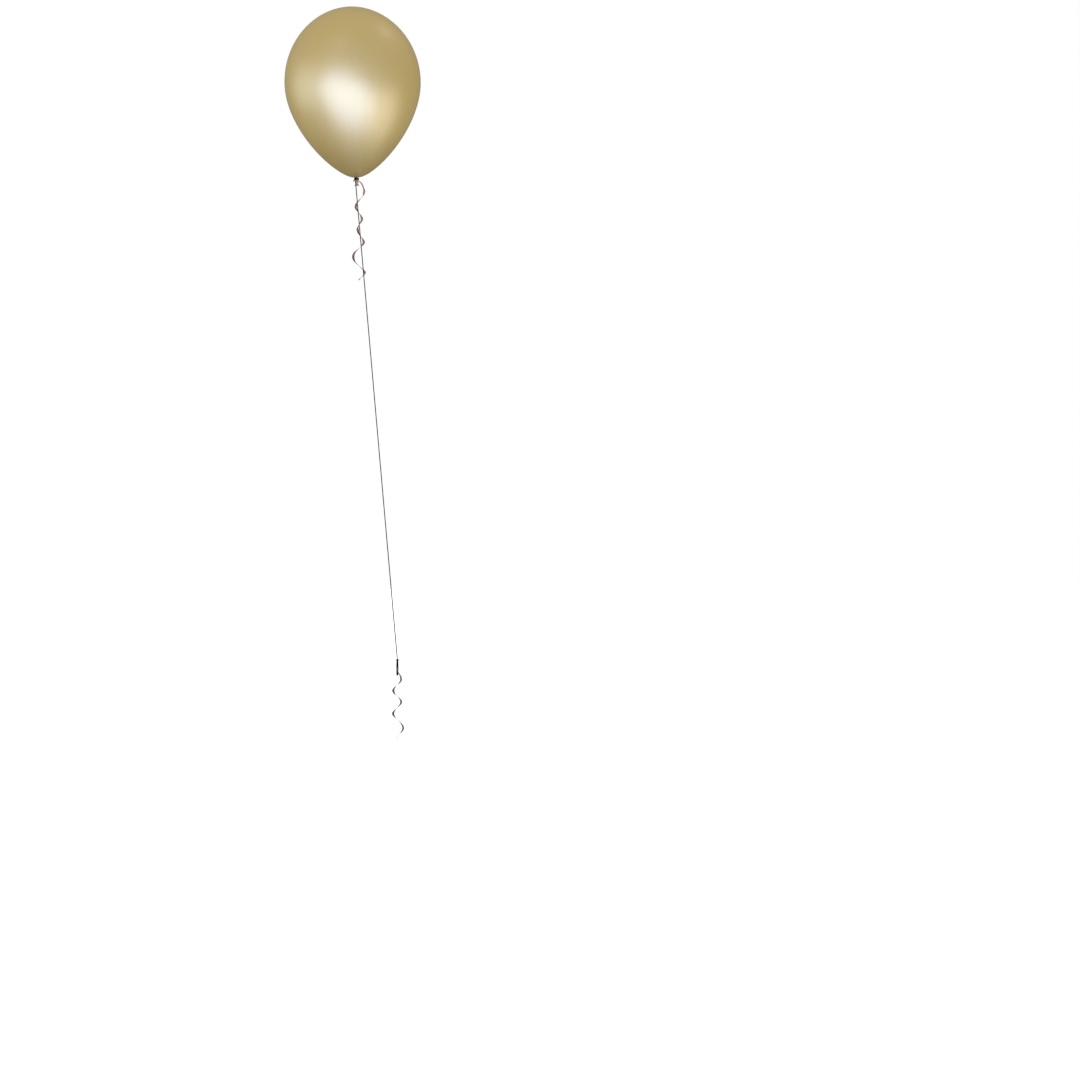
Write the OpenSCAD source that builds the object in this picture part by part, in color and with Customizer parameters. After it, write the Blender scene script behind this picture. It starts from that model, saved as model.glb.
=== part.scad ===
// Helium balloon of gold latex on a string: the balloon with its tied neck, the string that
// tethers it to a rail, and two lengths of curled ribbon, one under the neck and one at the rail.
// Millimetres, +Z up. The origin is the centre of the loop that goes round the rail.

/* [Balloon] */
// Largest diameter of the inflated balloon
balloon_d = 282; // [240:1:320]
// Height of the inflated balloon, from its neck to its crown
balloon_h = 353; // [320:1:400]
// Height of the widest ring above the neck
widest_z = 196; // [170:1:220]
// Thickness of the modelled latex wall
wall = 0.5; // [0.4:0.1:1]
// Lean of the balloon to the left, in degrees
balloon_lean = 2.3; // [0:0.1:5]

/* [Neck] */
// Diameter of the gathered neck
neck_d = 6.4; // [5:0.1:8]
// Length of the gathered neck, from the balloon to the knot
neck_l = 7.7; // [7:0.1:9]
// Diameter of the knot tied in the neck
knot_d = 9.2; // [8:0.1:10]
// Height of that knot
knot_h = 4.4; // [3:0.1:6]
// Length of the flared tail below the knot
tail_l = 4.2; // [4:0.1:7]
// Thickness of the rolled rim at the mouth
rim_t = 1.4; // [1:0.1:1.6]
// Diameter of the mouth at the middle of its rolled rim
mouth_d = 8; // [7:0.1:8]

/* [String] */
// Diameter of the string
string_d = 2; // [1.6:0.1:2.2]
// Length of the string, from its hitch on the rail to its hitch on the neck
string_l = 1000; // [800:10:1200]
// Lean of the string to the left, in degrees
string_lean = 5; // [0:1:8]
// Diameter of a hitch tied in the string
hitch_d = 6; // [5.6:0.1:6.6]
// Length of the cut end that a hitch leaves
tag_l = 9; // [5:1:12]
// Diameter of the rail that the loop goes round
rail_d = 25; // [20:1:40]

/* [Ribbon] */
// Outer diameter of the curls
curl_d = 21.2; // [20:0.1:22]
// Drop of the curls under the neck, from their top to their bottom
neck_curl_l = 184; // [100:1:184]
// Drop of the curls at the rail
rail_curl_l = 140; // [80:1:200]
// Width of the ribbon where it is bunched round the neck
ribbon_band_w = 1.8; // [1.5:0.1:2.2]
// Diameter of the ribbon's knot at the rail
ribbon_knot_d = 4.4; // [3:0.1:5]

/* [Hidden] */

gap = 0.3;             // between pieces that move on each other
string_turns = 2;      // turns of string round the neck, and round the rail
string_sides = 8;
outline_steps = 20;    // in each curve of the balloon's outline
flare_steps = 8;
curl_wall = 0.6;
neck_tag_droop = 30;   // degrees below level
rail_tag_droop = 15;
$fn = 48;

balloon_r = balloon_d / 2;
neck_r = neck_d / 2;
rail_r = rail_d / 2;
string_r = string_d / 2;
hitch_r = hitch_d / 2;
curl_r = curl_d / 2;
band_h = string_turns * string_d;

// handles that shape the outline between the neck, the widest ring and the crown
shoulder = [neck_r + 38, 0];
flank_z = 101;
brow_z = 287;
crown_r = 72;

// places along the balloon's own axis, counted from the bottom of the inflated part
wrap_z = -gap - hitch_r;  // level with the hitch, which clears the balloon
ribbon_wrap_z = wrap_z - band_h / 2 - gap - ribbon_band_w / 2;
knot_z = -neck_l - knot_h / 2;
tail_z = -neck_l - knot_h;
rim_z = tail_z - tail_l - rim_t / 2;

// the hitches are the points that the string and the balloon turn on
rail_hitch_at = [0, 0, rail_r + string_d + gap + hitch_r];
neck_hitch_at = rail_hitch_at + string_l * [-sin(string_lean), 0, cos(string_lean)];
hitch_offset = neck_r + string_d + gap + hitch_r;
hitch_turn = 17;       // the hitch sits this many degrees to the left of the front of the neck
neck_at = neck_hitch_at + hitch_offset * [sin(hitch_turn), cos(hitch_turn), 0];
balloon_nod = 2.2;     // degrees to the front, which brings the balloon's middle over its hitch

// the string's route, from its rail hitch up to its neck hitch, before it leans
string_route = [[0, 0, 3], [0, 0, 40], [0, 0, 100], [0, 0, 160], [0, 0, 220], [0, 0, 280],
                [0, 0, 340], [0, 0, 400], [0, 0, 460], [0, 0, 520], [0, 0, 580], [0, 0, 640],
                [0, 0, 700], [0, 0, 760], [0, 0, 820], [0, 0, 880], [0, 0, 940],
                [0, 0, string_l - 3]];

neck_curl_side = 9.2;  // from the string's top to the middle of its curls, to the right
neck_curl_drop = 22;   // from the neck hitch to the top of the curls
rail_curl_gap = 1.1;   // between the loop and the curls that hang in front of it
ribbon_knot_at = [0, -(rail_r + string_d + gap + ribbon_knot_d / 2), 0];
rail_curl_at = [0, -(rail_r + string_d + rail_curl_gap + curl_r), -ribbon_knot_d / 2 - gap * 2];

// points of a cubic curve from a to d, pulled towards b and c
function cubic(a, b, c, d, n) =
    [for (i = [0:n]) let (t = i / n, s = 1 - t)
        s * s * s * a + 3 * s * s * t * b + 3 * s * t * t * c + t * t * t * d];

// the balloon's outline from neck to crown, set in from its outside by inset
function outline(inset) =
    let (r = balloon_r - inset, top = balloon_h - inset,
         lower = cubic([neck_r - inset, 0], shoulder + [0, inset], [r, flank_z],
                       [r, widest_z], outline_steps),
         upper = cubic([r, widest_z], [r, brow_z], [crown_r, top], [0, top], outline_steps))
    concat(lower, [for (i = [1:outline_steps]) upper[i]]);

function reversed(points) = [for (i = [len(points) - 1:-1:0]) points[i]];

// the tail's wall, a curve that flares from the knot to the rolled rim
function flare(inset) =
    let (top = neck_r * 0.72 - inset, foot = mouth_d / 2 + wall / 2 - inset)
    cubic([top, tail_z], [top, tail_z - tail_l * 0.5], [foot, tail_z - tail_l * 0.6],
          [foot, tail_z - tail_l], flare_steps);

// a tube swept along a route that runs upwards, with level rings
module level_tube(route, radius, sides) {
    rings = len(route);
    points = [for (p = route, k = [0:sides - 1])
        p + radius * [cos(360 * k / sides), sin(360 * k / sides), 0]];
    walls = [for (j = [0:rings - 2], k = [0:sides - 1]) let (n = (k + 1) % sides)
        [j * sides + k, (j + 1) * sides + k, (j + 1) * sides + n, j * sides + n]];
    foot = [for (k = [0:sides - 1]) k];
    head = [for (k = [sides - 1:-1:0]) (rings - 1) * sides + k];
    polyhedron(points, concat([foot, head], walls), convexity = 2);
}

// the section of turns of string laid side by side round something of radius r
module turns_section(r) {
    translate([r, -band_h / 2]) square([string_r, band_h]);
    for (i = [0:string_turns - 1])
        translate([r + string_r, (i + 0.5) * string_d - band_h / 2]) circle(string_r);
}

module on_balloon() translate(neck_at) rotate([balloon_nod, -balloon_lean, 0])
    translate([0, 0, -wrap_z]) children();

module hitch(at) translate(at) sphere(d = hitch_d);

// the cut end of the string, from the surface of a hitch, at a turn round +Z from +X
module tag_end(at, turn, droop) translate(at) rotate([0, 0, turn]) rotate([0, 90 + droop, 0])
    translate([0, 0, hitch_r]) cylinder(r = string_r, h = tag_l);

// the space that a length of curled ribbon fills, from its top down
module curl(at, length) translate(at - [0, 0, length]) difference() {
    cylinder(r = curl_r, h = length);
    translate([0, 0, -1]) cylinder(r = curl_r - curl_wall, h = length + 2);
}

module balloon_body() color("#b9a261") on_balloon() rotate_extrude($fn = 96)
    polygon(concat(outline(0), reversed(outline(wall))));

module balloon_neck() color("#a8935a") on_balloon()
    translate([0, 0, -neck_l]) cylinder(r = neck_r, h = neck_l);

module neck_knot() color("#a08a50") on_balloon() translate([0, 0, knot_z]) rotate_extrude()
    intersection() {
        translate([(knot_d - knot_h) / 2, 0]) union() {
            circle(d = knot_h);
            translate([-knot_h, -knot_h / 2]) square([knot_h, knot_h]);
        }
        translate([0, -knot_h]) square([knot_d, knot_h * 2]);
    }

module neck_tail() color("#cdbf93") on_balloon() rotate_extrude()
    polygon(concat(flare(0), reversed(flare(wall))));

module rolled_rim() color("#a08a50") on_balloon() translate([0, 0, rim_z]) rotate_extrude()
    translate([mouth_d / 2, 0]) circle(d = rim_t);

module neck_string_wrap() color("#3a3a3c") on_balloon() translate([0, 0, wrap_z])
    rotate_extrude() turns_section(neck_r);

module neck_ribbon_wrap() color("#c9a184") on_balloon() translate([0, 0, ribbon_wrap_z])
    difference() {
        cylinder(r = neck_r + curl_wall, h = ribbon_band_w, center = true);
        cylinder(r = neck_r, h = ribbon_band_w + 1, center = true);
    }

module neck_hitch() color("#3a3a3c") hitch(neck_hitch_at);

module neck_tag_end() color("#3a3a3c") tag_end(neck_hitch_at, 270 - hitch_turn, neck_tag_droop);

module tether_string() color("#3a3a3c") translate(rail_hitch_at) rotate([0, -string_lean, 0])
    level_tube(string_route, string_r, string_sides);

module neck_ribbon() color("#c9a184")
    curl(neck_hitch_at + [neck_curl_side, 0, -neck_curl_drop], neck_curl_l);

module rail_hitch() color("#3a3a3c") hitch(rail_hitch_at);

module rail_tag_end() color("#3a3a3c") tag_end(rail_hitch_at, 90, rail_tag_droop);

module rail_loop() color("#3a3a3c") rotate([0, 90, 0]) rotate_extrude($fn = 96)
    turns_section(rail_r);

module tail_ribbon_knot() color("#c9a184") translate(ribbon_knot_at) sphere(d = ribbon_knot_d);

module tail_ribbon() color("#c9a184") curl(rail_curl_at, rail_curl_l);

balloon_body();
balloon_neck();
neck_knot();
neck_tail();
rolled_rim();
neck_string_wrap();
neck_ribbon_wrap();
neck_hitch();
neck_tag_end();
tether_string();
neck_ribbon();
rail_hitch();
rail_tag_end();
rail_loop();
tail_ribbon_knot();
tail_ribbon();
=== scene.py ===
"""A gold latex balloon on its string, with curled ribbon under its neck and at the rail.

Each sub-assembly is a class that reads its place from the frame, draws its lines, turns them
into meshes and rides them on the frame's bodies. Metres; +Z is up and -Y is the front.
"""
import logging
import math
from dataclasses import dataclass
from enum import Enum
from typing import Mapping, Sequence

import bpy
from mathutils import Euler, Matrix, Vector


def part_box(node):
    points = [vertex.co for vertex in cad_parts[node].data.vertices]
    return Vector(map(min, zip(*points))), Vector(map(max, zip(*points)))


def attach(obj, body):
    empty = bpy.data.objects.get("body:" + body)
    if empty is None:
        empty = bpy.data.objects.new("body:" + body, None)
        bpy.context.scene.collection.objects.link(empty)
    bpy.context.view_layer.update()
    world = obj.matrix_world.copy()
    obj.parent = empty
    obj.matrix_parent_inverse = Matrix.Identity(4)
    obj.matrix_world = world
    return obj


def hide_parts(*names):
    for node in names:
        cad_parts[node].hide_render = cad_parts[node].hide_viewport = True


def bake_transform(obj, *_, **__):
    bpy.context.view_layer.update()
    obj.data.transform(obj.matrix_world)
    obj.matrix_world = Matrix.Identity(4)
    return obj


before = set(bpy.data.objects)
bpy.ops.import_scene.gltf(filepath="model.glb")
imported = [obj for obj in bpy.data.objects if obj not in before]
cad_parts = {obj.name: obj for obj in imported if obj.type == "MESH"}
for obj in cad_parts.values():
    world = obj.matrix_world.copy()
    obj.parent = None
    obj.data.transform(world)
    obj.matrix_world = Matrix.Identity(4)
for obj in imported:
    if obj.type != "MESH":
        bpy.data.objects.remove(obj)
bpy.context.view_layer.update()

LOG = logging.getLogger("balloon")
MM = 0.001
NECK_RADIUS = 3.2 * MM
WELD = 0.004 * MM  # points this close together are merged
WHITE = (1.0, 1.0, 1.0, 1.0)

Colour = tuple[float, float, float, float]


class Body(Enum):
    """The frame's bodies, by what they are."""

    RAIL = "anchor"
    RAIL_HITCH = "string_pivot"
    STRING = "tether"
    NECK_HITCH = "neck_pivot"
    BALLOON = "balloon"
    BOW = "ribbon_pivot"
    TAIL_RIBBON = "ribbon_tail"


class Slot(Enum):
    """The record's material slots."""

    LATEX = "latex"
    STRING = "string"
    RIBBON = "ribbon"


# --- node trees -------------------------------------------------------------------------


class Wire:
    """One output in a node tree. Its operators add Math nodes to that tree."""

    def __init__(self, tree: "Tree", socket: bpy.types.NodeSocket) -> None:
        """Keeps the socket and the tree that new nodes go into."""
        self.tree, self.socket = tree, socket

    def maths(self, operation: str, *others: "float | Wire",
              first: "float | Wire | None" = None) -> "Wire":
        """Passes this value and others through a Math node.

        Args:
            operation: the Math node's operation.
            others: what follows this value.
            first: what comes before it, for reflected operators.

        Returns:
            The node's output.
        """
        values = (self, *others) if first is None else (first, self)
        return self.tree.wire("ShaderNodeMath", {"operation": operation}, dict(enumerate(values)))

    def __add__(self, other: "float | Wire") -> "Wire":
        """self + other."""
        return self.maths("ADD", other)

    __radd__ = __add__

    def __sub__(self, other: "float | Wire") -> "Wire":
        """self - other."""
        return self.maths("SUBTRACT", other)

    def __rsub__(self, other: float) -> "Wire":
        """other - self."""
        return self.maths("SUBTRACT", first=other)

    def __mul__(self, other: "float | Wire") -> "Wire":
        """self * other."""
        return self.maths("MULTIPLY", other)

    __rmul__ = __mul__

    def __truediv__(self, other: "float | Wire") -> "Wire":
        """self / other."""
        return self.maths("DIVIDE", other)

    def __abs__(self) -> "Wire":
        """self without its sign."""
        return self.maths("ABSOLUTE")

    def sin(self) -> "Wire":
        """The sine of this angle."""
        return self.maths("SINE")

    def cos(self) -> "Wire":
        """The cosine of this angle."""
        return self.maths("COSINE")

    def smooth(self, low: float, high: float) -> "Wire":
        """0 where this value is low, 1 where it is high, with a soft step between.

        Args:
            low: the value that gives 0.
            high: the value that gives 1.

        Returns:
            The output of a Map Range node.
        """
        return self.tree.wire("ShaderNodeMapRange", {"interpolation_type": "SMOOTHSTEP"},
                              {"Value": self, "From Min": low, "From Max": high})


class Tree:
    """Adds nodes to one node tree: a material's, the world's or a geometry recipe's."""

    def __init__(self, tree: bpy.types.NodeTree) -> None:
        """Keeps the tree's nodes and links."""
        self.nodes, self.links = tree.nodes, tree.links

    def node(self, kind: str, settings: Mapping[str, object] | None = None,
             sockets: Mapping[int | str, object] | None = None) -> bpy.types.Node:
        """Adds any node.

        Args:
            kind: the node's type.
            settings: its properties, set first; "stops" are a ramp's places and colours.
            sockets: the values or links of its inputs, by name or by number.

        Returns:
            The new node.
        """
        node = self.nodes.new(kind)
        for name, value in (settings or {}).items():
            if name == "stops":
                while len(node.color_ramp.elements) < len(value):
                    node.color_ramp.elements.new(0.5)
                for element, (place, colour) in zip(node.color_ramp.elements, value):
                    element.position, element.color = place, colour
            else:
                setattr(node, name, value)
        for key, value in (sockets or {}).items():
            named = [s for s in node.inputs if s.name == key and s.enabled]
            socket = node.inputs[key] if isinstance(key, int) else named[0]
            if isinstance(value, Wire):
                self.links.new(value.socket, socket)
            else:
                socket.default_value = value
        return node

    def wire(self, kind: str, settings: Mapping[str, object] | None = None,
             sockets: Mapping[int | str, object] | None = None, out: int | str = 0) -> Wire:
        """Adds any node and gives one of its outputs; out is that output's name or number."""
        return Wire(self, self.node(kind, settings, sockets).outputs[out])

    def split(self, vector: Wire) -> tuple[Wire, Wire, Wire]:
        """The x, y and z of a vector."""
        node = self.node("ShaderNodeSeparateXYZ", sockets={0: vector})
        return tuple(Wire(self, node.outputs[i]) for i in range(3))

    def join(self, x: "float | Wire", y: "float | Wire", z: "float | Wire") -> Wire:
        """A vector from its x, y and z."""
        return self.wire("ShaderNodeCombineXYZ", sockets={0: x, 1: y, 2: z})


class Recipe(Tree):
    """A geometry node tree with named sizes that turns a drawn line into a piece."""

    def __init__(self, name: str, sizes: Mapping[str, float | int]) -> None:
        """Makes the tree's inputs.

        Args:
            name: the tree's name.
            sizes: each input's name and usual value; a whole number makes a whole-number input.
        """
        self.group = bpy.data.node_groups.new(name, "GeometryNodeTree")
        super().__init__(self.group)
        face = self.group.interface
        face.new_socket(name="Line", in_out="INPUT", socket_type="NodeSocketGeometry")
        face.new_socket(name="Piece", in_out="OUTPUT", socket_type="NodeSocketGeometry")
        self.identifiers = {}
        for label, value in sizes.items():
            kind = "NodeSocketInt" if isinstance(value, int) else "NodeSocketFloat"
            socket = face.new_socket(name=label, in_out="INPUT", socket_type=kind)
            socket.default_value = value
            self.identifiers[label] = socket.identifier
        socket = face.new_socket(name="Finish", in_out="INPUT", socket_type="NodeSocketMaterial")
        self.identifiers["Finish"] = socket.identifier
        self.start = self.node("NodeGroupInput")
        self.line = self.wire("GeometryNodeMeshToCurve", sockets={0: Wire(self, self.start.outputs["Line"])})

    def size(self, label: str) -> Wire:
        """One of the tree's named inputs."""
        return Wire(self, self.start.outputs[label])

    def keep(self, geometry: Wire, attribute: str, value: Wire) -> Wire:
        """Stores a value on each point, for the finish to read; returns the geometry."""
        return self.wire("GeometryNodeStoreNamedAttribute", {"domain": "POINT"},
                         {"Geometry": geometry, "Name": attribute, "Value": value})

    def close(self, geometry: Wire) -> None:
        """Ends the tree with smooth shading, real geometry and the finish."""
        smooth = self.wire("GeometryNodeSetShadeSmooth", sockets={0: geometry})
        real = self.wire("GeometryNodeRealizeInstances", sockets={0: smooth})
        dressed = self.wire("GeometryNodeSetMaterial", sockets={
            0: real, "Material": self.size("Finish")})
        self.node("NodeGroupOutput", sockets={"Piece": dressed})

    def make(self, name: str, line: "Line", finish: bpy.types.Material, wall: float = 0.0,
             **sizes: float | int) -> bpy.types.Object:
        """Runs the recipe once and keeps its result as a plain mesh.

        Args:
            name: the piece's name.
            line: the line that it follows.
            finish: its material.
            wall: the thickness of its wall, inwards; 0 for a closed piece.
            sizes: values for the tree's inputs, with "_" for a space.

        Returns:
            The piece, at the origin, with no modifiers.
        """
        count = len(line.points)
        edges = [(i, (i + 1) % count) for i in range(count if line.closed else count - 1)]
        drawn_mesh = bpy.data.meshes.new(name + "_line")
        drawn_mesh.from_pydata([tuple(p) for p in line.points], edges, [])
        drawn = bpy.data.objects.new(name + "_line", drawn_mesh)
        bpy.context.scene.collection.objects.link(drawn)
        modifier = drawn.modifiers.new(self.group.name, "NODES")
        modifier.node_group = self.group
        modifier[self.identifiers["Finish"]] = finish
        for label, value in sizes.items():
            modifier[self.identifiers[label.replace("_", " ")]] = value
        if wall:
            shell = drawn.modifiers.new("wall", "SOLIDIFY")
            shell.thickness, shell.offset, shell.use_even_offset = wall, -1.0, True
        graph = bpy.context.evaluated_depsgraph_get()
        graph.update()
        mesh = bpy.data.meshes.new_from_object(
            drawn.evaluated_get(graph), preserve_all_data_layers=True, depsgraph=graph)
        bpy.data.objects.remove(drawn)
        mesh.name = name
        piece = bpy.data.objects.new(name, mesh)
        bpy.context.scene.collection.objects.link(piece)
        return piece


# --- recipes ----------------------------------------------------------------------------


class Lathe(Recipe):
    """Turns an outline round the Z axis, with soft pleats that run up it."""

    def __init__(self) -> None:
        """Builds the tree: a grid is wrapped round the axis, along the outline."""
        super().__init__("lathe", {
            "Segments": 64, "Rings": 24, "Crowding": 0.0, "Pleats": 0, "Twist": 0.0,
            "Depth Start": 0.0, "Depth End": 0.0, "Sway Start": 0.0, "Sway End": 0.0, "Reach": 1.0})
        grid = self.wire("GeometryNodeMeshGrid", sockets={
            "Size X": 1.0, "Size Y": 1.0, "Vertices X": self.size("Segments") + 1.0,
            "Vertices Y": self.size("Rings") + 1.0})
        place = self.wire("GeometryNodeInputPosition")
        x, y, _ = self.split(place)
        angle, along = (x + 0.5) * math.tau, y + 0.5
        crowding = self.size("Crowding")
        factor = along * (1.0 - crowding) + along * along * crowding
        sample = self.node("GeometryNodeSampleCurve", {"mode": "FACTOR"},
                           {"Curves": self.line, "Factor": factor})
        radius, _, height = self.split(Wire(self, sample.outputs["Position"]))
        tangent_r, _, tangent_z = self.split(Wire(self, sample.outputs["Tangent"]))
        length = self.wire("GeometryNodeCurveLength", sockets={0: self.line})
        fade = (factor * length / self.size("Reach")).smooth(0.0, 1.0)
        turned = angle * self.size("Pleats") + height * self.size("Twist")
        uneven_spacing = (angle * 3.0 + 1.0).sin() * 0.7
        uneven_depth = 0.75 + 0.25 * (angle * 5.0 + 2.0).cos()
        wave = (turned + uneven_spacing).cos() * uneven_depth
        depth = (self.size("Depth Start") * (1.0 - fade) + self.size("Depth End") * fade) * wave
        sway = (self.size("Sway Start") * (1.0 - fade) + self.size("Sway End") * fade) * wave
        reach = radius + depth * tangent_z + sway
        point = self.join(reach * angle.cos(), reach * angle.sin(), height - depth * tangent_r)
        moved = self.wire("GeometryNodeSetPosition", sockets={0: grid, "Position": point})
        merged = self.wire("GeometryNodeMergeByDistance", sockets={0: moved, "Distance": WELD})
        self.close(merged)


class LaidCord(Recipe):
    """Strands laid together into a cord that follows a line."""

    def __init__(self) -> None:
        """Builds the tree: a lobed section is swept along the line and turns as it goes."""
        super().__init__("laid_cord", {
            "Radius": 0.8 * MM, "Strands": 3, "Groove": 0.3, "Lay": 7 * MM, "Sides": 18,
            "Step": 0.8 * MM, "Taper": 0.0})
        evened = self.wire("GeometryNodeResampleCurve", {"mode": "LENGTH"},
                           {"Curve": self.line, "Length": self.size("Step")})
        spline = self.node("GeometryNodeSplineParameter")
        run, part = Wire(self, spline.outputs["Length"]), Wire(self, spline.outputs["Factor"])
        turned = self.wire("GeometryNodeSetCurveTilt", sockets={
            "Curve": evened, "Tilt": run * math.tau / self.size("Lay")})
        marked = self.keep(turned, "along", run)
        ring = self.wire("GeometryNodeCurvePrimitiveCircle", sockets={
            "Resolution": self.size("Sides"), "Radius": 1.0})
        x, y, _ = self.split(self.wire("GeometryNodeInputPosition"))
        bearing = y.maths("ARCTAN2", x)
        lobe = abs((bearing * self.size("Strands") * 0.5).cos())
        reach = self.size("Radius") * (1.0 - self.size("Groove") * (1.0 - lobe))
        section = self.wire("GeometryNodeSetPosition", sockets={
            0: ring, "Position": self.join(x * reach, y * reach, 0.0)})
        shaped = self.keep(section, "lobe", lobe)
        taper_starts = 0.6
        thickness = 1.0 - self.size("Taper") * part.smooth(taper_starts, 1.0)
        self.close(self.wire("GeometryNodeCurveToMesh", sockets={
            "Curve": marked, "Profile Curve": shaped, "Scale": thickness, "Fill Caps": True}))


class FlatRibbon(Recipe):
    """A thin strip that follows a line, with its face turned away from the line's upright axis."""

    def __init__(self) -> None:
        """Builds the tree: a thin cupped section is swept along the line."""
        super().__init__("flat_ribbon", {
            "Width": 5 * MM, "Thickness": 0.2 * MM, "Cup": 0.3 * MM, "Sides": 28, "Step": 1.2 * MM,
            "Bunched Width": 1.0, "Bunched Length": 0.1 * MM})
        evened = self.wire("GeometryNodeResampleCurve", {"mode": "LENGTH"},
                           {"Curve": self.line, "Length": self.size("Step")})
        upright = self.wire("GeometryNodeSetCurveNormal", {"mode": "Z_UP"}, {"Curve": evened})
        run = self.wire("GeometryNodeSplineParameter", out="Length")
        marked = self.keep(upright, "along", run)
        ring = self.wire("GeometryNodeCurvePrimitiveCircle", sockets={
            "Resolution": self.size("Sides"), "Radius": 1.0})
        x, y, _ = self.split(self.wire("GeometryNodeInputPosition"))
        edge_sharpness = 5.0
        flat = (y * edge_sharpness).maths("MINIMUM", 1.0).maths("MAXIMUM", -1.0)
        across = x * self.size("Width") * 0.5
        cupped = flat * self.size("Thickness") * 0.5 + x * x * self.size("Cup")
        section = self.wire("GeometryNodeSetPosition", sockets={
            0: ring, "Position": self.join(across, cupped, 0.0)})
        faced = self.keep(self.keep(section, "across", x), "face", flat)
        spread = run / self.size("Bunched Length")
        narrow = self.size("Bunched Width")
        scale = narrow + (1.0 - narrow) * spread.smooth(0.0, 1.0)
        self.close(self.wire("GeometryNodeCurveToMesh", sockets={
            "Curve": marked, "Profile Curve": faced, "Scale": scale, "Fill Caps": True}))


# --- lines ------------------------------------------------------------------------------


@dataclass
class Line:
    """Points that a piece follows, in order."""

    points: list[Vector]
    closed: bool = False

    @property
    def length(self) -> float:
        """Its length along the points."""
        ends = self.points[1:] + ([self.points[0]] if self.closed else [])
        return sum((b - a).length for a, b in zip(self.points, ends))

    def placed(self, place: Matrix) -> "Line":
        """The same line, moved by a matrix."""
        return Line([place @ p for p in self.points], self.closed)


def eased(knots: Sequence[Vector], steps: int = 10) -> Line:
    """A smooth line through knots.

    Args:
        knots: the places it passes through.
        steps: points between one knot and the next.

    Returns:
        The line, by Catmull and Rom's rule.
    """
    ends = [knots[0] * 2 - knots[1], *knots, knots[-1] * 2 - knots[-2]]
    points = []
    for a, b, c, d in zip(ends, ends[1:], ends[2:], ends[3:]):
        for step in range(steps):
            t = step / steps
            points.append(0.5 * (2 * b + (c - a) * t + (2 * a - 5 * b + 4 * c - d) * t ** 2
                                 + (3 * b - a - 3 * c + d) * t ** 3))
    return Line([*points, knots[-1].copy()])


def cubic(a: Vector, b: Vector, c: Vector, d: Vector, steps: int) -> list[Vector]:
    """Points of a cubic curve from a to d, pulled towards b and c."""
    curve = []
    for step in range(steps + 1):
        t = step / steps
        s = 1 - t
        curve.append(s ** 3 * a + 3 * s * s * t * b + 3 * s * t * t * c + t ** 3 * d)
    return curve


def overhand(radius: float, sway: float, rise: float, steps: int = 108) -> Line:
    """The closed line of an overhand knot drawn tight, about the origin.

    Args:
        radius: of the ring that it winds round.
        sway: how far it swings in and out of that ring.
        rise: how far it swings up and down.
        steps: points in it.

    Returns:
        The line.
    """
    points = []
    for step in range(steps):
        t = math.tau * step / steps
        out = radius + sway * math.cos(3 * t)
        points.append(Vector((out * math.cos(2 * t), out * math.sin(2 * t), rise * math.sin(3 * t))))
    return Line(points, closed=True)


def noose(centre: Vector, axis: Vector, knot: Vector, radius: float, shift: float) -> Line:
    """A string's line out of a knot, twice round something and back into the knot.

    Args:
        centre: of what it goes round.
        axis: of what it goes round.
        knot: where both ends meet.
        radius: of the string's own line round it.
        shift: from the middle of one turn to the next, along the axis.

    Returns:
        The line.
    """
    up = (knot - centre) - axis * (knot - centre).dot(axis)
    away = up.length
    up.normalize()
    side = axis.cross(up)
    leave = math.acos(radius / away)
    points = []
    sweep = 2 * math.tau - 2 * leave
    steps, crossing = 96, 0.9
    for step in range(steps + 1):
        angle = leave + sweep * step / steps
        turn = min(max((angle - math.tau + crossing / 2) / crossing, 0.0), 1.0)
        along = shift * (turn * turn * (3 - 2 * turn) - 0.5)
        points.append(centre + radius * (up * math.cos(angle) + side * math.sin(angle)) + axis * along)
    apart, lead_parts = 0.2, (0.12, 0.45, 0.75)
    for end, tip in ((points[0], -apart), (points[-1], apart)):
        lead = [knot + axis * shift * tip + (end - knot) * part for part in lead_parts]
        points = [*lead, *points] if tip < 0 else [*points, *reversed(lead)]
    return Line(points)


# --- finishes ---------------------------------------------------------------------------


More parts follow.
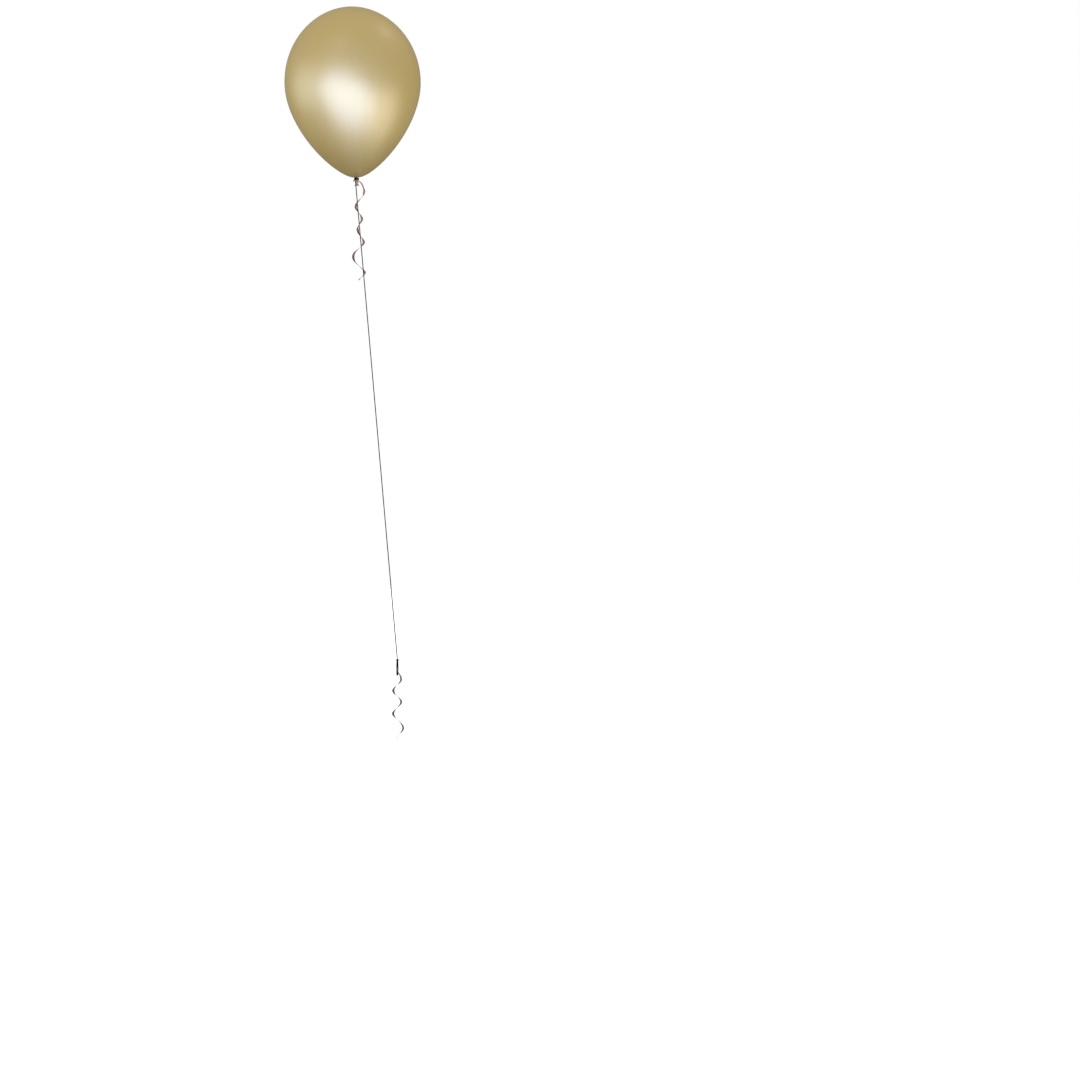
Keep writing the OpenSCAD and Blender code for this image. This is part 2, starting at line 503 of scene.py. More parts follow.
class Finish:
    """A material under construction, with one Principled shader."""

    def __init__(self, name: str, **constants: object) -> None:
        """Starts the material.

        Args:
            name: the material's name.
            constants: values of the shader's own inputs, with "_" for a space.
        """
        self.material = bpy.data.materials.new(name)
        self.material.use_nodes = True
        self.material.node_tree.nodes.clear()
        self.tree = Tree(self.material.node_tree)
        self.shader = self.tree.node("ShaderNodeBsdfPrincipled", sockets={
            key.replace("_", " "): value for key, value in constants.items()})
        self.tree.node("ShaderNodeOutputMaterial", sockets={
            "Surface": Wire(self.tree, self.shader.outputs[0])})

    def place(self) -> Wire:
        """The point on the object, in metres."""
        return self.tree.wire("ShaderNodeTexCoord", out="Object")

    def attribute(self, name: str) -> Wire:
        """A value that a recipe stored on the surface."""
        return self.tree.wire("ShaderNodeAttribute", {"attribute_name": name}, out="Fac")

    def noise(self, place: Wire, scale: float, detail: float = 2.0, roughness: float = 0.5) -> Wire:
        """Soft random variation, about 0.5."""
        return self.tree.wire("ShaderNodeTexNoise", sockets={
            "Vector": place, "Scale": scale, "Detail": detail, "Roughness": roughness})

    def mix(self, factor: "float | Wire", first: "Colour | Wire", second: "Colour | Wire") -> Wire:
        """One colour turned into another by a factor."""
        return self.tree.wire("ShaderNodeMix", {"data_type": "RGBA"},
                              {"Factor": factor, "A": first, "B": second}, out=2)

    def feed(self, name: str, value: Wire) -> None:
        """Links a value to one of the shader's inputs."""
        self.tree.links.new(value.socket, self.shader.inputs[name])

    def relief(self, height: Wire, distance: float, strength: float) -> None:
        """Gives the surface a fine relief of that height."""
        self.feed("Normal", self.tree.wire("ShaderNodeBump", sockets={
            "Height": height, "Distance": distance, "Strength": strength}))


@dataclass(frozen=True)
class PearlLatex:
    """Pearl-gold latex: stretched thin on the balloon, thick and paler where it isn't stretched."""

    name: str
    gold: Colour
    deep: Colour
    metallic: float
    roughness: float
    sheen_coat: float
    stretched: bool
    cloud_scale: float = 14.0
    flake_scale: float = 2600.0
    grain_scale: float = 420.0
    fine_grain_scale: float = 1500.0
    # where the darkening towards the neck fades out: partly less stretched latex, partly painted shade on the
    # underside
    neck_shade_top: float = 105 * MM
    crown_spot: tuple[float, float] = (0.3505, 0.3526)

    def build(self, to_balloon: Matrix) -> bpy.types.Material:
        """Makes the material.

        Args:
            to_balloon: the balloon's place, whose own z is counted up from its neck.

        Returns:
            The material.
        """
        finish = Finish(self.name, IOR=2.4, Specular_IOR_Level=0.5, Specular_Tint=(1.0, 0.92, 0.62, 1.0),
                        Coat_Roughness=0.42, Coat_IOR=2.2)
        turn = to_balloon.to_euler()
        local = finish.tree.wire("ShaderNodeMapping", {"vector_type": "TEXTURE"}, {
            "Vector": finish.place(), "Location": to_balloon.to_translation(), "Rotation": tuple(turn)})
        x, y, z = finish.tree.split(local)
        bearing = y.maths("ARCTAN2", x)
        clouds = finish.noise(local, self.cloud_scale, 3.0)
        flake = finish.noise(local, self.flake_scale, 1.0)
        around = finish.tree.join(bearing.cos() * 5.0, bearing.sin() * 5.0, z * 6.0)
        streaks = finish.noise(around, 3.0, 4.0, 0.6)
        if self.stretched:
            # Deeper, darker gold over the lower part towards the neck: partly the less stretched latex there,
            # partly painted shade on the underside. The crown spot is the thicker latex at the top.
            neck = 1.0 - z.smooth(0.0, self.neck_shade_top)
            crown = z.smooth(*self.crown_spot)
            depth = neck * 0.62 + crown * 0.5
        else:
            depth = finish.noise(local, self.grain_scale, 2.0) * 0.55
        depth = depth + (clouds - 0.5) * 0.34 + (streaks - 0.5) * 0.3 + (flake - 0.5) * 0.16
        depth = depth.maths("MAXIMUM", 0.0).maths("MINIMUM", 1.0)
        finish.feed("Base Color", finish.mix(depth, self.gold, self.deep))
        finish.feed("Metallic", self.metallic + (flake - 0.5) * 0.1)
        finish.feed("Roughness", self.roughness + (flake - 0.5) * 0.08 + (clouds - 0.5) * 0.06)
        finish.feed("Coat Weight", self.sheen_coat + (clouds - 0.5) * 0.1)
        wrinkle = finish.noise(local, self.grain_scale if self.stretched else self.fine_grain_scale, 3.0)
        finish.relief(wrinkle, (0.012 if self.stretched else 0.08) * MM, 0.5)
        return finish.material


@dataclass(frozen=True)
class SpunString:
    """Dark spun string: matt fibres that run with its strands."""

    name: str = "charcoal_string"
    dark: Colour = (0.002, 0.002, 0.002, 1.0)
    light: Colour = (0.010, 0.009, 0.010, 1.0)
    fibre_scale: float = 900.0
    fuzz_scale: float = 2600.0

    def build(self) -> bpy.types.Material:
        """Makes the material."""
        finish = Finish(self.name, Specular_IOR_Level=0.03)
        place, lobe, along = finish.place(), finish.attribute("lobe"), finish.attribute("along")
        fibre = finish.noise(finish.tree.join(lobe * 6.0, along * self.fibre_scale, lobe), 3.0, 3.0)
        fuzz = finish.noise(place, self.fuzz_scale, 2.0)
        # The strands' crests are lighter and the grooves between them darker: painted shade in the grooves,
        # with the fibre and fuzz variation on top.
        shade = (lobe * 0.55 + (fibre - 0.5) * 0.7 + (fuzz - 0.5) * 0.5).maths("MAXIMUM", 0.0)
        finish.feed("Base Color", finish.mix(shade.maths("MINIMUM", 1.0), self.dark, self.light))
        finish.feed("Roughness", 0.78 + (fuzz - 0.5) * 0.2)
        finish.relief(fibre + fuzz * 0.6, 0.08 * MM, 0.8)
        return finish.material


@dataclass(frozen=True)
class CurlingRibbon:
    """Champagne curling ribbon: glossy, ribbed along its length, with a darker brown back that is partly its
    duller reverse side and partly painted shade.
    """

    name: str = "champagne_ribbon"
    face: Colour = (0.88, 0.74, 0.62, 1.0)
    # the back's dark brown is partly the ribbon's duller reverse side, partly painted shade
    back: Colour = (0.20, 0.095, 0.06, 1.0)
    # colour of the darker random patches
    patch_brown: Colour = (0.42, 0.22, 0.13, 1.0)
    ribs: float = 16.0

    def build(self) -> bpy.types.Material:
        """Makes the material."""
        finish = Finish(self.name, IOR=1.5, Coat_Roughness=0.1, Specular_Tint=(0.9, 0.6, 0.45, 1.0))
        across, along, face = (finish.attribute(name) for name in ("across", "along", "face"))
        rib = (across * math.pi * self.ribs).cos() * 0.5 + 0.5
        grain = finish.noise(finish.tree.join(across * 9.0, along * 40.0, face), 4.0, 3.0)
        crease = finish.noise(finish.tree.join(across * 0.4, along * 240.0, face), 1.0, 2.0)
        outer = face.smooth(-0.4, 0.4)
        # champagne on the front, dark brown on the back: the back's darkness is partly painted shade
        colour = finish.mix(outer, self.back, self.face)
        # Darker brown in random patches and in bands that follow the crinkles.
        brown_patches = 0.5 + (grain - 0.5) * 1.1 + (crease - 0.5) * 0.5
        brown_patches = brown_patches.maths("MAXIMUM", 0.0).maths("MINIMUM", 1.0)
        finish.feed("Base Color", finish.mix(brown_patches * 0.42, colour, self.patch_brown))
        finish.feed("Metallic", 0.62 + outer * 0.25)
        finish.feed("Roughness", 0.24 + (grain - 0.5) * 0.16 + (1.0 - rib) * 0.06)
        finish.feed("Coat Weight", 0.3 + (grain - 0.5) * 0.2)
        finish.relief(rib + crease * 0.8, 0.03 * MM, 0.7)
        return finish.material


# --- sub-assemblies ---------------------------------------------------------------------


def middle(node: str) -> Vector:
    """The middle of a CAD node's box."""
    low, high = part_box(node)
    return (Vector(low) + Vector(high)) / 2


def fit(piece: bpy.types.Object, slot: Slot, body: Body | None, *nodes: str) -> bpy.types.Object:
    """Hides the CAD nodes that a piece replaces and rides it on its body.

    Args:
        piece: the finished mesh.
        slot: the record's material slot; not used.
        body: the body that it rides on, or None to leave it on no body.
        nodes: the CAD nodes that it replaces.

    Returns:
        The piece.
    """
    if nodes:
        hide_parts(*nodes)
    if body is not None:
        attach(piece, body.value)
    LOG.info("%s: %d faces on %s", piece.name, len(piece.data.polygons), body.value if body else "a blend")
    return piece


@dataclass
class Anchors:
    """The points and the place that the pieces share, all read from the frame."""

    balloon_lean: float = math.radians(-2.3)
    balloon_nod: float = math.radians(2.2)
    hitch_below: float = 3.3 * MM

    def __post_init__(self) -> None:
        """Reads the frame."""
        self.rail = middle("rail_loop")
        self.rail_hitch = middle("rail_hitch")
        self.neck_hitch = middle("neck_hitch")
        self.bow = middle("tail_ribbon_knot")
        self.neck = middle("neck_string_wrap")
        turn = Euler((self.balloon_nod, self.balloon_lean, 0.0), "XYZ").to_matrix().to_4x4()
        self.balloon = Matrix.Translation(self.neck) @ turn @ Matrix.Translation((0, 0, self.hitch_below))
        self.upward = (self.neck_hitch - self.rail_hitch).normalized()


@dataclass
class Tether:
    """The string between its two hitches, and the knots, loop and cut ends at them."""

    anchors: Anchors
    finish: bpy.types.Material
    laid: LaidCord
    diameter: float = 2 * MM
    lay: float = 7 * MM
    tag: float = 9 * MM
    hitch_radius: float = 3 * MM
    strands: int = 3
    fullness: float = 0.53  # a strand's reach from the middle, as a part of the diameter
    groove: float = 0.13
    knot_tilt: tuple[float, float, float] = (78, 14, 20)
    route: tuple[float, ...] = (0.003, 0.04, 0.1, 0.16, 0.22, 0.28, 0.34, 0.4, 0.46, 0.52, 0.58, 0.64,
                                0.7, 0.76, 0.82, 0.88, 0.94, 0.997)

    def cord(self, name: str, line: Line, step: float = 0.7 * MM, sides: int = 18,
             taper: float = 0.0) -> bpy.types.Object:
        """A length of the string along a line."""
        lay = self.lay
        if line.closed:
            lay = line.length / max(round(line.length / lay * self.strands) / self.strands, 1)
        return self.laid.make(name, line, self.finish, Radius=self.diameter * self.fullness,
                              Strands=self.strands, Groove=self.groove, Lay=lay, Sides=sides, Step=step,
                              Taper=taper)

    def build_string(self, pieces: Sequence[bpy.types.Object]) -> bpy.types.Object:
        """The long standing part; the pieces given to it are not used."""
        a = self.anchors
        knots = [a.rail_hitch + a.upward * z for z in self.route]
        line = eased(knots, 6)
        piece = self.cord("tether", line, step=0.85 * MM, sides=15)
        round(line.length, 3)
        return fit(piece, Slot.STRING, Body.STRING, "tether_string")

    def knot(self, name: str, at: Vector) -> bpy.types.Object:
        """An overhand knot in the string, drawn tight."""
        turn = Euler([math.radians(angle) for angle in self.knot_tilt], "XYZ")
        place = Matrix.Translation(at) @ turn.to_matrix().to_4x4()
        line = overhand(radius=1.35 * MM, sway=0.62 * MM, rise=1.1 * MM)
        return self.cord(name, line.placed(place), step=0.28 * MM)

    def cut_end(self, name: str, at: Vector, bearing: float, droop: float) -> bpy.types.Object:
        """The cut end that a knot leaves.

        Args:
            name: the piece's name.
            at: the middle of the knot.
            bearing: its turn round +Z from +X, in degrees.
            droop: how far below level it points, in degrees.

        Returns:
            The piece.
        """
        bearing, droop = math.radians(bearing), math.radians(droop)
        level = Vector((math.cos(bearing), math.sin(bearing), 0))
        out = level * math.cos(droop) - Vector((0, 0, math.sin(droop)))
        start, reach = self.hitch_radius / 2, self.hitch_radius + self.tag
        side = level.cross(Vector((0, 0, 1)))
        lift, bow, drift = 0.25, 0.35, 0.1
        knots = [at + out * start,
                 at + out * (start + 0.3 * reach) + Vector((0, 0, lift * MM)),
                 at + out * (0.68 * reach) + side * bow * MM,
                 at + out * (reach - 0.5 * MM) + side * drift * MM]
        return self.cord(name, eased(knots), step=0.3 * MM, taper=-0.18)

    def build_knots(self) -> list[bpy.types.Object]:
        """The loop round the rail, both hitches and both cut ends."""
        a = self.anchors
        rail_radius = (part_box("rail_loop")[1][1] - a.rail.y) - self.diameter / 2
        loop = noose(a.rail, Vector((1, 0, 0)), a.rail_hitch, rail_radius, self.diameter)
        return [
            fit(self.cord("rail_string_loop", loop), Slot.STRING, Body.RAIL, "rail_loop"),
            fit(self.knot("rail_hitch_knot", a.rail_hitch), Slot.STRING, Body.RAIL_HITCH, "rail_hitch"),
            fit(self.cut_end("rail_string_tag", a.rail_hitch, bearing=90, droop=15), Slot.STRING,
                Body.RAIL_HITCH, "rail_tag_end"),
            fit(self.knot("neck_hitch_knot", a.neck_hitch), Slot.STRING, Body.NECK_HITCH, "neck_hitch"),
            fit(self.cut_end("neck_string_tag", a.neck_hitch, bearing=253, droop=30), Slot.STRING,
                Body.NECK_HITCH, "neck_tag_end"),
        ]

    def build_turns(self) -> bpy.types.Object:
        """The two turns of string round the balloon's neck, with their leads to the hitch."""
        a = self.anchors
        axis = (a.balloon.to_3x3() @ Vector((0, 0, 1))).normalized()
        line = noose(a.neck, axis, a.neck_hitch, NECK_RADIUS + self.diameter / 2, self.diameter)
        return fit(self.cord("neck_string_turns", line, step=0.4 * MM), Slot.STRING, Body.BALLOON,
                   "neck_string_wrap")


@dataclass
class Ribbons:
    """The two curled ribbons: one from the balloon's neck, one tied at the rail."""

    anchors: Anchors
    finish: bpy.types.Material
    flat: FlatRibbon
    width: float = 5 * MM
    thickness: float = 0.22 * MM
    bunched_width: float = 0.75
    bunched_length: float = 16 * MM
    # each knot of the neck ribbon, from the neck hitch: x to the right, y away from the front, z up
    neck_knots: tuple[tuple[float, float, float], ...] = (
        (5.9, 4.1, -3.0), (10.6, 0.8, -6.6), (15.4, -3.2, -14.2), (18.4, -5.4, -24.4), (16.6, -8.6, -34.6),
        (9.4, -9.2, -43.5), (2.8, -5.4, -51.5), (1.2, 1.5, -60.0), (6.4, 6.6, -68.5), (12.2, 4.6, -77.0),
        (13.6, -2.4, -85.0), (9.8, -7.2, -93.5), (5.6, -4.6, -102.0), (6.0, 2.0, -110.0), (10.8, 6.8, -118.0),
        (16.2, 4.6, -126.0), (17.2, -2.4, -133.5), (12.6, -8.2, -140.5), (4.8, -9.0, -147.0),
        (-1.8, -5.0, -153.5), (-4.2, 1.2, -161.5), (-1.6, 7.4, -170.0), (6.6, 10.0, -179.0),
        (15.6, 7.0, -187.0), (19.4, 0.4, -193.5), (17.4, -6.4, -199.5), (11.4, -8.8, -205.5),
        (6.4, -7.4, -210.2))
    # each knot of the rail ribbon, from the loop's centre
    rail_knots: tuple[tuple[float, float, float], ...] = (
        (0.4, -17.8, -2.0), (3.4, -18.4, -8.0), (7.4, -21.4, -15.7), (8.2, -27.4, -23.4), (3.6, -33.4, -29.9),
        (-3.6, -33.4, -36.4), (-7.6, -27.4, -43.4), (-5.4, -20.0, -50.9), (1.6, -17.6, -57.4),
        (7.4, -21.4, -63.9), (8.0, -28.4, -70.9), (2.2, -34.0, -77.9), (-5.0, -32.4, -84.9),
        (-8.0, -26.0, -92.4), (-4.4, -19.0, -99.9), (3.4, -17.2, -107.4), (10.4, -20.8, -114.9),
        (12.8, -27.0, -122.4), (9.2, -33.2, -129.4), (3.2, -35.4, -136.0), (-2.4, -34.6, -142.4))

    def strip(self, name: str, line: Line) -> bpy.types.Object:
        """A free length of ribbon along a line, bunched where it leaves its knot."""
        return self.flat.make(name, line, self.finish, Width=self.width, Thickness=self.thickness,
                              Cup=0.35 * MM, Bunched_Width=self.bunched_width,
                              Bunched_Length=self.bunched_length, Step=1.0 * MM)

    def bunch(self, name: str, line: Line, width: float, step: float, cup: float) -> bpy.types.Object:
        """A short length of ribbon, gathered to that width."""
        return self.flat.make(name, line, self.finish, Width=width, Thickness=0.3 * MM, Cup=cup, Step=step)

    def build_neck_curl(self) -> bpy.types.Object:
        """The ribbon that hangs from the neck along the string."""
        a = self.anchors
        line = eased([a.neck_hitch + Vector(k) * MM for k in self.neck_knots], 8)
        piece = self.strip("neck_ribbon_curl", line)
        round(line.length, 3)
        fit(piece, Slot.RIBBON, None, "neck_ribbon")
        top = a.neck_hitch - a.upward * 2 * MM
        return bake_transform(piece, Body.NECK_HITCH.value, Body.STRING.value, start=top,
                        end=top - a.upward * 34 * MM)

    def build_rail_curl(self) -> bpy.types.Object:
        """The ribbon that hangs in front of the rail."""
        a = self.anchors
        line = eased([a.rail + Vector(k) * MM for k in self.rail_knots], 8)
        piece = self.strip("rail_ribbon_curl", line)
        round(line.length, 3)
        return fit(piece, Slot.RIBBON, Body.TAIL_RIBBON, "tail_ribbon")

    def wound(self) -> Line:
        """The ribbon's line round the balloon's neck, about the balloon's own axis."""
        turns, start, steps = 2.35, 1.2, 80
        inner, growth, height, waver = 3.32, 0.34, -6.5, 0.12
        points = []
        for step in range(steps + 1):
            angle = math.tau * turns * step / steps - start
            radius = (inner + growth * step / steps) * MM
            z = (height + waver * math.sin(step / 7)) * MM
            points.append(Vector((math.cos(angle) * radius, math.sin(angle) * radius, z)))
        return Line(points)

    def holding(self) -> Line:
        """The closed line of the turn that holds the rail ribbon's knot to the loop."""
        half_width, middle_y, half_depth, slant, steps = 2.3 * MM, -13.45 * MM, 1.28 * MM, 0.35 * MM, 48
        points = []
        for step in range(steps):
            angle = math.tau * step / steps
            points.append(self.anchors.rail + Vector((
                half_width * math.cos(angle), middle_y + half_depth * math.sin(angle),
                slant * math.sin(angle))))
        return Line(points, closed=True)

    def build_knots(self) -> list[bpy.types.Object]:
        """The turns round the neck, the knot at the rail and the turn that holds it to the loop."""
        a = self.anchors
        wrap = self.bunch("neck_ribbon_turns", self.wound().placed(a.balloon), width=1.7 * MM,
                          step=0.35 * MM, cup=0.1 * MM)
        tilt = Euler((math.radians(80), 0.3, 0.5), "XYZ").to_matrix().to_4x4()
        tied = overhand(radius=1.0 * MM, sway=0.42 * MM, rise=0.62 * MM)
        knot = self.bunch("rail_ribbon_knot", tied.placed(Matrix.Translation(a.bow) @ tilt), width=1.7 * MM,
                          step=0.25 * MM, cup=0.15 * MM)
        turn = self.bunch("rail_ribbon_turn", self.holding(), width=2.0 * MM, step=0.3 * MM, cup=0.1 * MM)
        return [fit(wrap, Slot.RIBBON, Body.BALLOON, "neck_ribbon_wrap"),
                fit(knot, Slot.RIBBON, Body.BOW, "tail_ribbon_knot"),
                fit(turn, Slot.RIBBON, Body.RAIL)]


@dataclass
class Balloon:
    """The latex skin and what its neck is gathered into: neck, knot, flared tail and rim."""

    anchors: Anchors
    skin_finish: bpy.types.Material
    neck_finish: bpy.types.Material
    lathe: Lathe
    laid: LaidCord
    radius: float = 141 * MM
    height: float = 353 * MM
    widest: float = 196 * MM
    wall: float = 0.5 * MM
    # handles that shape the outline between the neck, the widest ring and the crown
    shoulder: float = 38 * MM
    flank: float = 101 * MM
    brow: float = 287 * MM
    crown: float = 72 * MM

    def outline(self) -> Line:
        """The skin's outline, from its neck to its crown."""
        steps = 90
        low = cubic(Vector((NECK_RADIUS, 0, 0)), Vector((NECK_RADIUS + self.shoulder, 0, 0)),
                    Vector((self.radius, 0, self.flank)), Vector((self.radius, 0, self.widest)), steps)
        high = cubic(Vector((self.radius, 0, self.widest)), Vector((self.radius, 0, self.brow)),
                     Vector((self.crown, 0, self.height)), Vector((0, 0, self.height)), steps)
        return Line([*low, *high[1:]])

    def seat(self, piece: bpy.types.Object) -> bpy.types.Object:
        """Puts a piece that was made about the balloon's own axis in its place."""
        piece.data.transform(self.anchors.balloon)
        return piece

    def build_skin(self) -> bpy.types.Object:
        """The inflated skin, softly pleated where it runs into the neck."""
        piece = self.lathe.make(
            "balloon_skin", self.outline(), self.skin_finish, wall=self.wall, Segments=176, Rings=150,
            Crowding=0.6, Pleats=14, Depth_Start=0.26 * MM, Depth_End=0.0, Reach=62 * MM, Twist=6.0)
        return fit(self.seat(piece), Slot.LATEX, Body.BALLOON, "balloon_body")

    def build_neck(self) -> bpy.types.Object:
        """The gathered neck, between the skin and the knot."""
        outline = Line([Vector((r * MM, 0, z * MM)) for r, z in (
            (0.0, -7.9), (2.4, -7.9), (2.95, -7.5), (2.95, -6.2), (2.9, -5.2), (2.9, -3.2), (2.95, -1.6),
            (3.1, -0.8), (3.35, -0.2), (3.7, 0.12), (3.0, 0.3), (0.0, 0.35))])
        piece = self.lathe.make(
            "gathered_neck", outline, self.neck_finish, Segments=96, Rings=60, Pleats=11, Twist=260.0,
            Depth_Start=0.0, Depth_End=0.2 * MM, Reach=2.4 * MM)
        return fit(self.seat(piece), Slot.LATEX, Body.BALLOON, "balloon_neck")

    def build_knot(self) -> bpy.types.Object:
        """The overhand knot tied in the neck."""
        line = overhand(radius=2.15 * MM, sway=0.95 * MM, rise=0.72 * MM)
        line = line.placed(Matrix.Translation((0, 0, -9.9 * MM)))
        lay = line.length / round(line.length / (16 * MM))
        piece = self.laid.make("latex_knot", line, self.neck_finish, Radius=1.5 * MM, Strands=7, Groove=0.16,
                               Lay=lay, Sides=42, Step=0.35 * MM)
        return fit(self.seat(piece), Slot.LATEX, Body.BALLOON, "neck_knot")

    def build_tail(self) -> list[bpy.types.Object]:
        """The flared tail below the knot, and the rolled rim at its mouth."""
        top, foot, rim = -11.9 * MM, -16.5 * MM, -17.0 * MM
        mouth, bead_radius = 4.0 * MM, 0.7 * MM
        flare = Line(cubic(Vector((1.9 * MM, 0, top)), Vector((2.2 * MM, 0, -13.9 * MM)),
                           Vector((4.1 * MM, 0, -14.4 * MM)), Vector((4.15 * MM, 0, foot)), 24)[::-1])
        shared = {"Segments": 96, "Pleats": 5, "Twist": 120.0}
        tail = self.lathe.make("tail_skirt", flare, self.neck_finish, wall=self.wall, Rings=26, Reach=4 * MM,
                               Depth_Start=0.05 * MM, Depth_End=0.3 * MM, Sway_Start=0.42 * MM,
                               Sway_End=0.1 * MM, **shared)
        bead = Line([Vector((mouth + bead_radius * math.cos(t), 0, rim + bead_radius * math.sin(t)))
                     for t in (math.tau * s / 24 for s in range(25))])
        ring = self.lathe.make("rolled_rim_bead", bead, self.neck_finish, Rings=16, Sway_Start=0.42 * MM,
                               Sway_End=0.42 * MM, **shared)
        return [fit(self.seat(tail), Slot.LATEX, Body.BALLOON, "neck_tail"),
                fit(self.seat(ring), Slot.LATEX, Body.BALLOON, "rolled_rim")]


# --- studio -----------------------------------------------------------------------------


@dataclass(frozen=True)
class Softbox:
    """A soft elliptical light that points at the balloon, and may light only gloss or only matt."""

    name: str
    at: tuple[float, float, float]
    size: tuple[float, float]
    watts: float
    roll: float = 0.0
    diffuse: bool = True
    glossy: bool = True
    colour: tuple[float, float, float] = (1.0, 1.0, 1.0)
    target: tuple[float, float, float] = (-0.09, 0.0, 1.19)

    def build(self) -> bpy.types.Object:
        """Makes the light."""
        light = bpy.data.lights.new(self.name, "AREA")
        light.shape, light.size, light.size_y = "ELLIPSE", *self.size
        light.energy, light.color = self.watts, self.colour
        lamp = bpy.data.objects.new(self.name, light)
        lamp.location = self.at
        aim = (Vector(self.target) - Vector(self.at)).to_track_quat("-Z", "Y")
        rolled = aim.to_matrix() @ Matrix.Rotation(math.radians(self.roll), 3, "Z")
        lamp.rotation_euler = rolled.to_euler()
        lamp.visible_camera = False
        lamp.visible_diffuse, lamp.visible_glossy = self.diffuse, self.glossy
        bpy.context.scene.collection.objects.link(lamp)
        return lamp


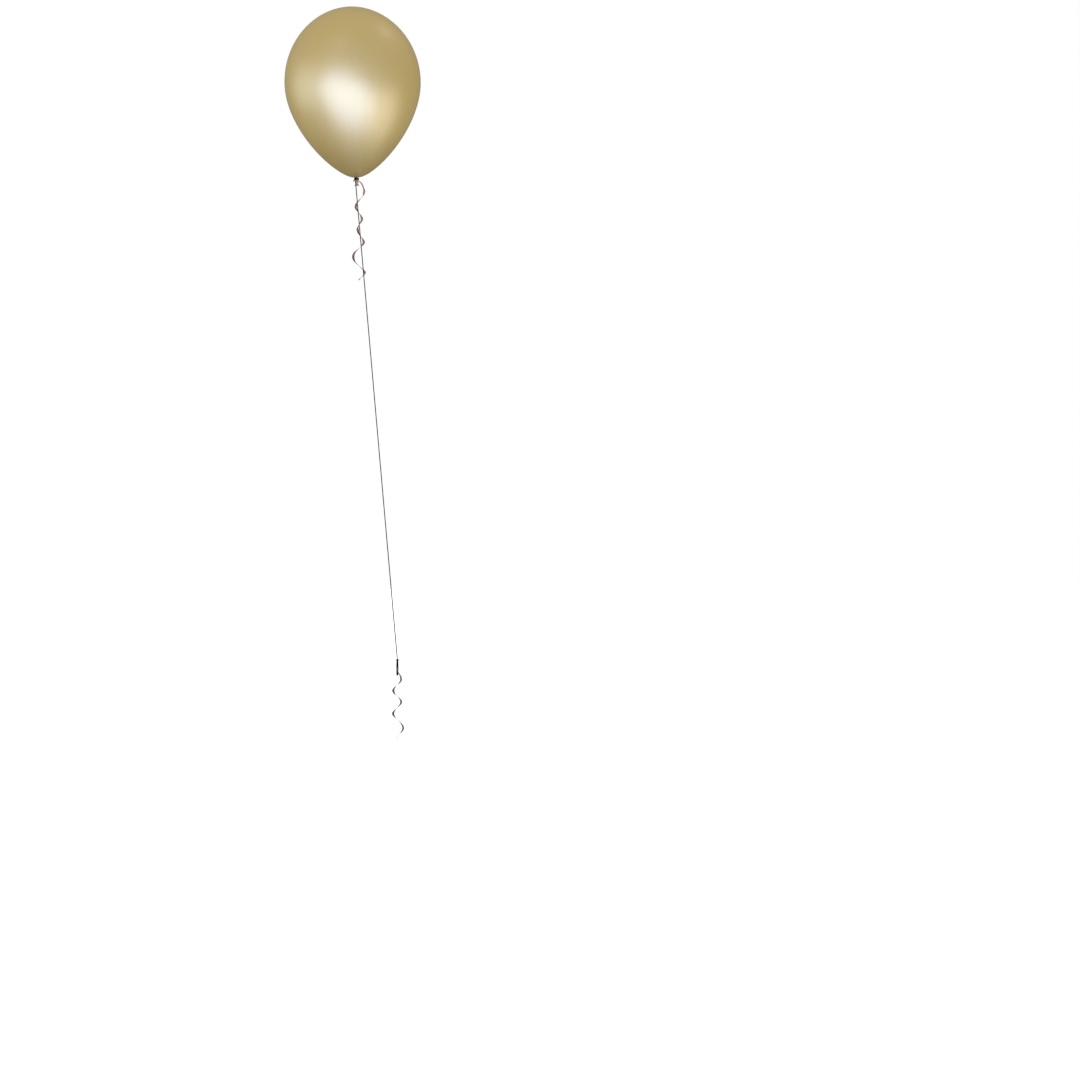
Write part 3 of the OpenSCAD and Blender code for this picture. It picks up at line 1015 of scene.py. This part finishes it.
@dataclass
class Studio:
    """The camera, the pale floor, the surroundings and the lights."""

    camera_at: tuple[float, float, float] = (0.2952, -10.0, 0.2662)
    lens: float = 161.03
    floor_z: float = -0.744
    softboxes: tuple[Softbox, ...] = (
        Softbox("front_low", (-0.3, -1.36, 0.54), (3.3, 1.75), 66.0, roll=-26.0, diffuse=False,
                colour=(0.51, 0.63, 1.0)),
        Softbox("low_right", (0.9, -0.45, 0.45), (1.3, 1.1), 4.8, diffuse=False),
        Softbox("low_left", (-1.5, -0.15, 1.05), (1.5, 1.1), 4.8, diffuse=False,
                colour=(0.8, 0.9, 1.0)),
        Softbox("left_back", (-2.6, 2.4, 2.6), (2.4, 2.4), 17.0, glossy=False),
        Softbox("right_back", (2.4, 2.8, 0.6), (2.6, 1.8), 13.0, glossy=False),
        Softbox("glint_left", (-0.79, -1.42, 3.13), (0.14, 0.14), 0.9),
        Softbox("glint_right", (1.18, 0.46, 2.93), (0.10, 0.30), 1.0),
    )

    def build_camera(self) -> bpy.types.Object:
        """The camera, level, looking along +Y."""
        data = bpy.data.cameras.new("camera")
        data.lens, data.sensor_width = self.lens, 36.0
        data.clip_start, data.clip_end = 0.1, 400.0
        camera = bpy.data.objects.new("camera", data)
        camera.location, camera.rotation_euler = self.camera_at, (math.radians(90), 0, 0)
        bpy.context.scene.collection.objects.link(camera)
        bpy.context.scene.camera = camera
        return camera

    def build_floor(self) -> bpy.types.Object:
        """A wide pale floor."""
        mesh = bpy.data.meshes.new("floor")
        reach = 90.0
        mesh.from_pydata([(-reach, -reach, self.floor_z), (reach, -reach, self.floor_z),
                          (reach, reach, self.floor_z), (-reach, reach, self.floor_z)], [], [(0, 1, 2, 3)])
        floor = bpy.data.objects.new("floor", mesh)
        bpy.context.scene.collection.objects.link(floor)
        finish = Finish("pale_floor", Roughness=0.9, Specular_IOR_Level=0.1, Emission_Strength=0.42,
                        Emission_Color=WHITE)
        grain = finish.noise(finish.place(), 3.0, 3.0)
        finish.feed("Base Color", finish.mix(grain, (0.93, 0.93, 0.93, 1.0), (0.96, 0.96, 0.96, 1.0)))
        mesh.materials.append(finish.material)
        floor.visible_glossy = False
        floor.visible_diffuse = False
        return floor

    def build_world(self) -> None:
        """White to look at, soft and even to be lit by, and dim in reflections."""
        world = bpy.data.worlds.new("studio")
        bpy.context.scene.world = world
        world.use_nodes = True
        world.node_tree.nodes.clear()
        tree = Tree(world.node_tree)
        _, _, up = tree.split(tree.wire("ShaderNodeTexCoord", out="Generated"))
        soft = tree.wire("ShaderNodeValToRGB", {"stops": (
            (0.0, (0.62, 0.61, 0.58, 1.0)), (0.45, (0.86, 0.85, 0.83, 1.0)), (0.7, WHITE),
            (1.0, WHITE))}, {0: up * 0.5 + 0.5})
        dark = tree.wire("ShaderNodeValToRGB", {"stops": (
            (0.0, (0.10, 0.085, 0.05, 1.0)), (0.5, (0.20, 0.19, 0.165, 1.0)), (0.75, (0.30, 0.30, 0.30, 1.0)),
            (1.0, (0.34, 0.34, 0.35, 1.0)))}, {0: up * 0.5 + 0.5})
        path = tree.node("ShaderNodeLightPath")
        lit, mirrored, plain = (tree.wire("ShaderNodeBackground", sockets={
            "Color": colour, "Strength": strength}) for colour, strength in (
                (soft, 1.12), (dark, 1.0), (WHITE, 1.0)))
        unseen = tree.wire("ShaderNodeMixShader", sockets={
            0: Wire(tree, path.outputs["Is Diffuse Ray"]), 1: mirrored, 2: lit})
        both = tree.wire("ShaderNodeMixShader", sockets={
            0: Wire(tree, path.outputs["Is Camera Ray"]), 1: unseen, 2: plain})
        tree.node("ShaderNodeOutputWorld", sockets={"Surface": both})

    def build(self) -> None:
        """The floor, the surroundings and the lights, with plain tones."""
        self.build_floor()
        self.build_world()
        for softbox in self.softboxes:
            softbox.build()
        bpy.context.scene.view_settings.view_transform = "Standard"
        LOG.info("studio: %d lights", len(self.softboxes))


def main() -> None:
    """Builds every sub-assembly in order."""
    logging.basicConfig(level=logging.INFO, format="%(name)s: %(message)s")
    studio = Studio()
    studio.build_camera()
    anchors = Anchors()
    lathe, laid, flat = Lathe(), LaidCord(), FlatRibbon()
    tether = Tether(anchors, SpunString().build(), laid)
    tether.build_string(tether.build_knots())
    ribbons = Ribbons(anchors, CurlingRibbon().build(), flat)
    ribbons.build_neck_curl()
    ribbons.build_rail_curl()
    studio.build()
    tether.build_turns()
    ribbons.build_knots()
    skin = PearlLatex("pearl_gold_latex", gold=(0.575, 0.385, 0.045, 1.0), deep=(0.38, 0.24, 0.015, 1.0),
                      metallic=0.03, roughness=0.5, sheen_coat=0.9, stretched=True)
    neck = PearlLatex("unstretched_latex", gold=(0.56, 0.46, 0.25, 1.0), deep=(0.36, 0.25, 0.1, 1.0),
                      metallic=0.25, roughness=0.42, sheen_coat=0.25, stretched=False)
    balloon = Balloon(anchors, skin.build(anchors.balloon), neck.build(anchors.balloon), lathe, laid)
    balloon.build_skin()
    balloon.build_neck()
    balloon.build_knot()
    balloon.build_tail()


if __name__ == "__main__":
    main()
